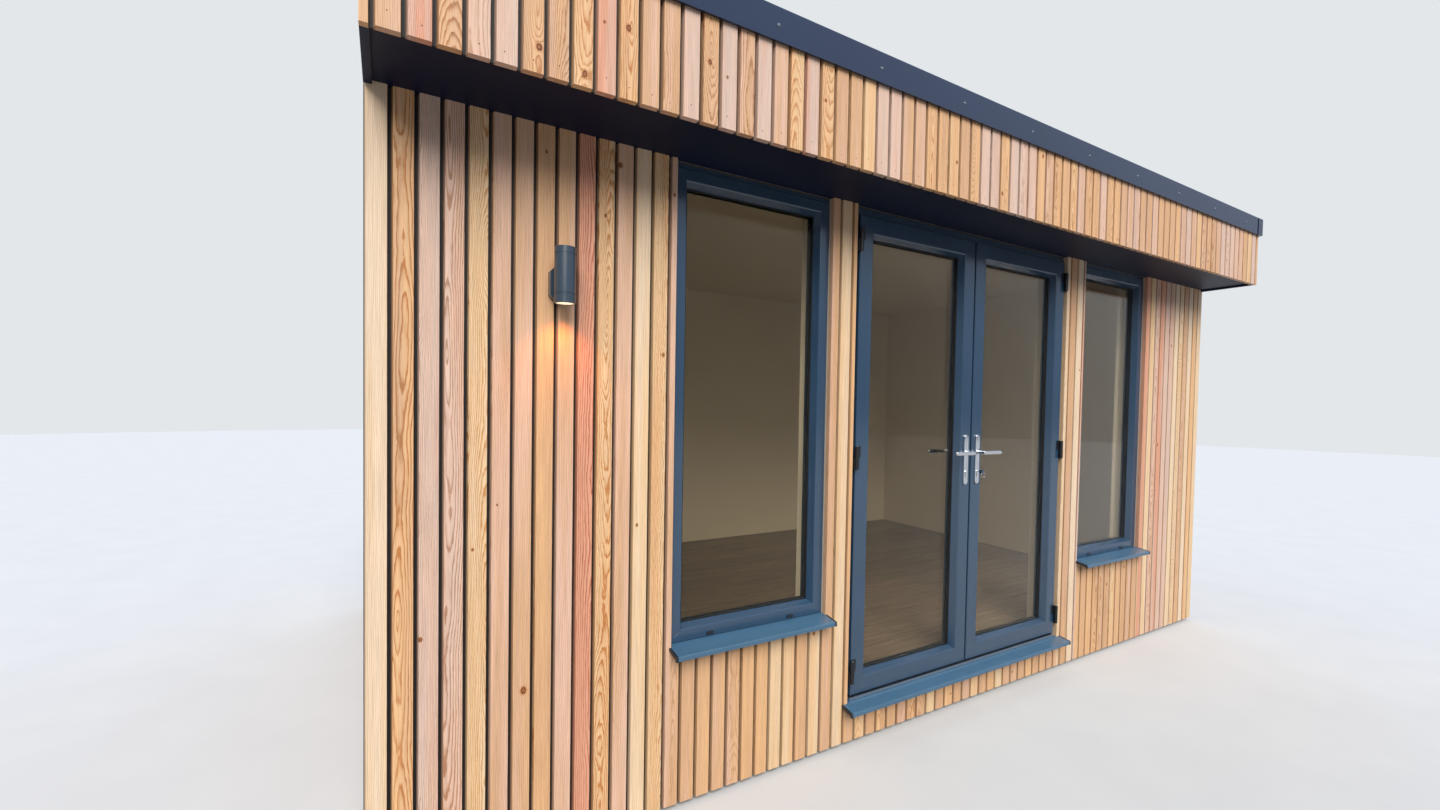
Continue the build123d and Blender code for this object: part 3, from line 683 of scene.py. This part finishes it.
# Two lengths of trim meet 63 mm right of the middle, front and back, in a bead of sealant.
for side, y, out_by in (("front", face_front, -0.4), ("back", face_back, 0.4)):
    seam = (0.062, 0.064, trim_low.z + 0.0005, trim_high.z - 0.007, y)
    framed(f"trim_{side}_joint", [seam], [(0.5, out_by), (0, 0), (0, -out_by)], rubber_membrane,
           "building", True)


# Window and door frames. Welded PVC profiles with a slate-blue grained foil outside, a
# flat rebate face and a bead that slopes in to the glass, held by black rubber gaskets.
# Foiled PVC: satin, with an embossed grain of 0.5 mm drawn at 1.5 mm so that it shows.
foiled_pvc = mottled("foiled_pvc", "#253f58", "#2d4963", 4.0, Roughness=0.19,
                     Specular_IOR_Level=1.0)
emboss(foiled_pvc, 1.0, 0.12, 0.0003, 3.0, (650, 650, 60))
dress(foiled_pvc, "window_frame_left", "window_frame_right", "door_frame", "left_leaf",
      "right_leaf")

# Foiled sill: a smoother blue foil, painted lighter than the frames as painted light from the sky
# on its top.
painted_light_sill_foil = mottled("painted_light_sill_foil", "#3b5f7a", "#456b87", 7.0, Roughness=0.22,
                    Specular_IOR_Level=0.8)
dress(painted_light_sill_foil, "window_sills", "door_sill")


def weld_seams(name, rects, flat, body):
    """The thin raised seam of each mitre weld, over the flat face of each frame."""
    half = 0.0005
    ridge = ((-half, -0.0002), (0, 0.00025), (half, -0.0002))
    start = 0.0015
    end = flat - 0.007
    solids = []
    for left, right, bottom, top, y in rects:
        for x, z, east, north in ((left, bottom, 1, 1), (right, bottom, -1, 1),
                                  (right, top, -1, -1), (left, top, 1, -1)):
            solids.append([[(x + east * (step + aside), y - rise, z + north * (step - aside))
                            for aside, rise in ridge] for step in (start, end)])
    lofted(name, solids, foiled_pvc, body)


# The flat face is 43 mm wide on a window frame and 70 mm on a leaf. Each window frame has
# a packer over it, which its box takes in.
packer = 0.014
window_rects = []
for node in ("window_frame_left", "window_frame_right"):
    low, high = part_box(node)
    window_rects.append((low.x, high.x, low.z, high.z - packer, low.y))
weld_seams("window_weld_seams", window_rects, 0.043, "building")
for name in ("left", "right"):
    low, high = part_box(f"{name}_leaf")
    weld_seams(f"{name}_leaf_weld_seams", [(low.x, high.x, low.z, high.z, low.y)], 0.07,
               f"door_{name}")

# Float glass with a low-emissivity coat: clear, with a faint bronze cast to what it
# mirrors, and it lets the lamps through into the room. Its IOR is below the 1.52 of glass,
# to keep what its four faces mirror faint.
float_glass = mottled("float_glass", "#eeece6", "#f2f0eb", 1.5, Roughness=0.0, IOR=1.3,
                      Transmission_Weight=1.0, Specular_Tint=paint("#b8ab9c"))
tree = float_glass.node_tree
through = add(tree, "ShaderNodeBsdfTransparent", {"Color": paint("#efede8")})
path = add(tree, "ShaderNodeLightPath")
choice = add(tree, "ShaderNodeMixShader", {0: path.outputs["Is Shadow Ray"],
                                           1: tree.nodes["Principled BSDF"].outputs[0],
                                           2: through.outputs[0]})
tree.links.new(choice.outputs[0], tree.nodes["Material Output"].inputs["Surface"])

# Extruded rubber gasket: matt black, with a fine mottle of about 1 mm.
gasket_rubber = mottled("gasket_rubber", "#0c0d10", "#191b20", 900.0, Roughness=0.6)

# Warm-edge spacer: black plastic bar with a foil back, dotted every 3 mm, between the two
# panes.
spacer_bar, tree, shader = finish_of("spacer_bar", Roughness=0.5)
place = add(tree, "ShaderNodeTexCoord")
dots = add(tree, "ShaderNodeTexVoronoi", {"Vector": place.outputs["Object"], "Scale": 300.0})
tone = add(tree, "ShaderNodeValToRGB", {"Fac": dots.outputs["Distance"]})
tone.color_ramp.elements[0].color = paint("#15161a")
tone.color_ramp.elements[1].color = paint("#2a2c31")
tree.links.new(tone.outputs["Color"], shader.inputs["Base Color"])


def glaze(title, node, edges, body):
    """Two panes, a spacer and gaskets for each unit (left, right) of a glass node."""
    pane_step = 0.02
    low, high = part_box(node)
    rects = [(left, right, low.z, high.z, low.y) for left, right in edges]
    inner = [(a, b, c, d, y + pane_step) for a, b, c, d, y in rects]
    panes = framed(f"{title}_panes", rects + inner, [(0.5, 0), (0, 0.5), (0, 3.5), (0.5, 4)],
                   float_glass, body, True)
    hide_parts(node)
    framed(f"{title}_spacers", rects, [(3, 4.1), (11.5, 4.1), (11.5, 19.9), (3, 19.9)],
           spacer_bar, body)
    framed(f"{title}_gaskets", rects, [(11.2, 0), (12.4, -1.6), (14.6, -1.9), (15.4, -0.2),
                                       (15.4, 0)], gasket_rubber, body)
    framed(f"{title}_inner_gaskets", rects, [(12.2, 24), (12.2, 25.6), (14.4, 25.9),
                                             (15.4, 24.2), (15.4, 24)], gasket_rubber,
           body)


rail_cover = 0.045
glaze("window", "window_glass", [(left + rail_cover, right - rail_cover)
                                 for left, right in (window_l, window_r)], "building")
for side in ("left", "right"):
    node = f"{side}_leaf_glass"
    glaze(f"{side}_leaf", node, [[corner.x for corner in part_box(node)]], f"door_{side}")


# Reveal linings. Cream PVC boards line the thickness of the wall up both sides of each
# opening and over it, from the back of the frame to the room, and lap over the frame.
lining_pvc = mottled("lining_pvc", "#e4dccb", "#ece5d6", 6.0, Roughness=0.4)


def line_reveals(name, openings, frame_back, lap):
    """Boards round each opening (left, right, bottom, top) that lap the frame by lap mm."""
    deep = (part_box("front_wall_panels")[1].y - frame_back) * 1000
    # In mm: just clear of the frame's back, with a lip 14 wide and 4 proud on the room's wall.
    outline = [(0, 0.3), (lap, 0.3), (lap, deep + 4), (-14, deep + 4), (-14, deep + 0.2),
               (0, deep + 0.2)]
    solids = []
    for left, right, bottom, top in openings:
        solids.append([])
        for x, way_in, z, drop in ((left, 1, bottom, 0), (left, 1, top, 1), (right, -1, top, 1),
                                   (right, -1, bottom, 0)):
            solids[-1].append([(x + way_in * inward / 1000, frame_back + depth / 1000,
                                z - drop * inward / 1000) for inward, depth in outline])
    lofted(name, solids, lining_pvc, "building")


window_low, window_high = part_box("window_frame_left")
line_reveals("window_linings", [(*window_l, window_low.z, window_high.z),
                                (*window_r, window_low.z, window_high.z)], window_high.y, 34)
door_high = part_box("door_frame")[1]
line_reveals("door_lining", [(*doorway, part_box("floor_covering")[1].z, door_high.z)],
             door_high.y, 31)

# A bead of black sealant closes the joint between each frame's packer and the header.
header_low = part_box("front_wall_header")[0]
beads = [(left + 0.001, right - 0.001, header_low.z - 0.0055, header_low.z - 0.0002,
          header_low.y + 0.0003) for left, right in (window_l, doorway, window_r)]
framed("head_sealant", beads, [(1.5, 0), (0, 1.5), (0, 5.5)], gasket_rubber,
       "building", True)


# Sill caps. Moulded dark end caps push onto the cut ends of each sill.
# Moulded PVC cap: plain satin plastic, nearly black, slightly mottled from the mould.
moulded_cap = mottled("moulded_cap", "#12161d", "#1c222c", 400.0, Roughness=0.4)


def sill_caps(name, ends, seat):
    """A cap 2 mm thick over each end of a sill, a little larger than its section."""
    projection = 0.06
    fall = 0.013
    nose = 0.016
    bevel = 0.002
    proud = 0.0008
    slope = fall / (0.02 + projection)
    outline = [(0.0, seat + proud - slope * 0.02),
               (bevel - projection, seat - fall + slope * bevel + proud),
               (-projection - proud, seat - fall - bevel),
               (-projection - proud, seat - fall - nose - proud),
               (-projection + 0.0068, seat - fall - nose - proud),
               (-projection + 0.0068, seat - fall - 0.010), (0.0, seat - 0.0125)]
    # It laps 6 mm over the sill, and its front edge is eased by 0.8 mm.
    solids = []
    for x, out in ends:
        cuts = ((x - out * 0.006, 0), (x + out * 0.0012, 0), (x + out * 0.002, proud))
        solids.append([[(across, front_y + depth + inset, z) for depth, z in outline]
                       for across, inset in cuts])
    lofted(name, solids, moulded_cap, "building")


# The sills run past their frames by 8 mm at a window and 30 mm at the door.
window_over = 0.008
door_over = 0.03
sill_ends = []
for left, right in (window_l, window_r):
    sill_ends += [(left - window_over, -1), (right + window_over, 1)]
window_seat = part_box("window_sills")[1].z
sill_caps("window_sill_caps", sill_ends, window_seat)
door_ends = [(doorway[0] - door_over, -1), (doorway[1] + door_over, 1)]
sill_caps("door_sill_caps", door_ends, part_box("door_sill")[1].z)


# Drain caps. Two small hooded covers clip over the drainage slots of each window's
# bottom rail. Each is 30 mm wide, rounded on top, 6 mm proud and open below.
half = 0.015
hood = [(0, 0.0045), (-0.003, 0.0042), (-0.0062, 0.002), (-0.0066, -0.0045), (-0.0052, -0.0045),
        (0, -0.003)]
rail_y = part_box("window_frame_left")[0].y
cap_z = window_seat + 0.014
inset = 0.16
hoods = []
for x in (window_l[0] + inset, window_l[1] - inset, window_r[0] + inset, window_r[1] - inset):
    hoods.append([])
    for across, scale in ((-half, 0.7), (-half + 0.002, 1), (half - 0.002, 1), (half, 0.7)):
        hoods[-1].append([(x + across, rail_y + depth * scale, cap_z + rise * scale)
                          for depth, rise in hood])
lofted("window_drain_caps", hoods, moulded_cap, "building")


# Threshold. An extruded aluminium strip, mill finished, runs across the doorway.
# Bare aluminium: bright grey with fine lengthwise die lines about 0.7 mm apart.
mill_aluminium = mottled("mill_aluminium", "#b9bcc0", "#dcdee0", 1.0,
                         stretch=(8, 1500, 1500), Metallic=1.0, Roughness=0.34)
dress(mill_aluminium, "door_threshold")


# Hinges. Three lift-off hinges a leaf: a post with its pin on the frame and a flag on the
# leaf, in black coated steel.
hinge_coat = mottled("black_coated_steel", "#0d0e11", "#1a1c21", 300.0, Roughness=0.4)
dress(hinge_coat, "hinge_posts", "left_hinge_flags", "right_hinge_flags")

# Bright steel: the turned end of each hinge's pin, left uncoated.
bright_steel = mottled("bright_steel", "#b4b6b9", "#d6d8da", 1500.0, Metallic=1.0,
                       Roughness=0.25)
leaf_low, leaf_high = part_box("left_leaf")
post_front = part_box("hinge_posts")[0].y
post_radius = 0.009
post_inset = 0.0175
pin_rise = 0.047
from_end = 0.102
pin_spots = []
for level in (leaf_low.z + from_end, (leaf_low.z + leaf_high.z) / 2, leaf_high.z - from_end):
    for x in (doorway[0] + post_inset, doorway[1] - post_inset):
        pin_spots.append(((x, post_front + post_radius, level + pin_rise), (0, 0, 1)))
turned("hinge_pin_caps", [(3.8, -0.6), (3.8, 0.2), (2.8, 0.9), (1, 1.2)], pin_spots,
       bright_steel, "building")


# Handles. Polished chrome levers on long backplates, outside and in, on one sprung
# spindle, with a lock cylinder under each.
# Chrome plate: a mirror with slight waves of 10 mm from the polishing.
chrome_plate = mottled("chrome_plate", "#c9ccd0", "#e4e6e8", 100.0, Metallic=1.0,
                       Roughness=0.07)
emboss(chrome_plate, 100.0, 0.06, 0.001)
dress(chrome_plate, "left_backplates", "right_backplates", "left_lock_cylinder",
      "right_lock_cylinder", "left_lever", "right_lever")

# Each backplate is held by a countersunk screw near its top and bottom end.
screw_in = 0.014
for name in ("left", "right"):
    plate_low, plate_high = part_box(f"{name}_backplates")
    middle_x = (plate_low.x + plate_high.x) / 2
    screw_spots = []
    for level in (plate_low.z + screw_in, plate_high.z - screw_in):
        screw_spots.append(((middle_x, plate_low.y, level), (0, -1, 0)))
        screw_spots.append(((middle_x, plate_high.y, level), (0, 1, 0)))
    turned(f"{name}_backplate_screws", [(3.9, -0.4), (3.9, 0.15), (3.4, 0.4), (1.6, 0.1)],
           screw_spots, chrome_plate, f"door_{name}")

# A split ring of 1.6 mm wire hangs through the hole in the key's bow.
key_low, key_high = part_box("right_lock_cylinder")
ring_radius = 0.0125
wire = 0.0008
key_hole = Vector(((key_low.x + key_high.x) / 2, key_low.y + 0.006, key_high.z - 0.012))
ring_middle = key_hole - Vector((0, 0, ring_radius + 0.0022))
loops = []
for step in range(48):
    turn = step * math.tau / 48
    loops.append([])
    for part in range(8):
        around = part * math.tau / 8
        out_by = ring_radius + wire * math.cos(around)
        loops[-1].append(ring_middle + Vector((out_by * math.sin(turn), wire * math.sin(around),
                                               out_by * math.cos(turn))))
key_ring = lofted("key_ring", [loops], bright_steel, "door_right", True)
for part in key_ring.data.polygons:
    part.use_smooth = True


# Wall light. A round down-light on a box bracket, in cast aluminium with a blue-grey
# powder coat, with a lit glass lens in its lower end.
light_coat = mottled("light_powder_coat", "#2b3a48", "#344555", 700.0, Roughness=0.26,
                     Specular_IOR_Level=1.0)
emboss(light_coat, 700.0, 0.2, 0.0004)
dress(light_coat, "wall_light")

# Opal glass lens, lit from behind: it glows a warm white, brightest in the middle.
lens_low, lens_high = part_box("light_lens")
lens_middle = (lens_low + lens_high) / 2
opal_lens, tree, shader = finish_of("opal_lens", Roughness=0.3, Emission_Strength=1.0)
place = add(tree, "ShaderNodeTexCoord")
away = add(tree, "ShaderNodeVectorMath", {0: place.outputs["Object"], 1: lens_middle},
           operation="DISTANCE")
glow = add(tree, "ShaderNodeMapRange", {"Value": away.outputs["Value"], "From Min": 0.0,
                                        "From Max": 0.027})
tone = add(tree, "ShaderNodeValToRGB", {"Fac": glow.outputs[0]})
tone.color_ramp.elements[0].color = paint("#fff6e0")
tone.color_ramp.elements[1].color = paint("#f0d8ae")
tree.links.new(tone.outputs["Color"], shader.inputs["Base Color"])
tree.links.new(tone.outputs["Color"], shader.inputs["Emission Color"])
dress(opal_lens, "light_lens")

# The lamp's beam: an amber wash down two boards, thrown at the wall from the lens.
beam_lamp = bpy.data.lights.new("light_beam", "SPOT")
beam_lamp.energy = 2.8
beam_lamp.color = paint("#ff8a1c")[:3]
beam_lamp.spot_size = math.radians(116)
beam_lamp.spot_blend = 1.0
beam_lamp.shadow_soft_size = 0.02
beam = bpy.data.objects.new("light_beam", beam_lamp)
beam.location = (lens_middle.x, lens_middle.y, lens_low.z - 0.012)
beam.rotation_euler = Vector((0, -0.06, 1)).to_track_quat("Z", "Y").to_euler()
scene.collection.objects.link(beam)

bpy.context.view_layer.update()
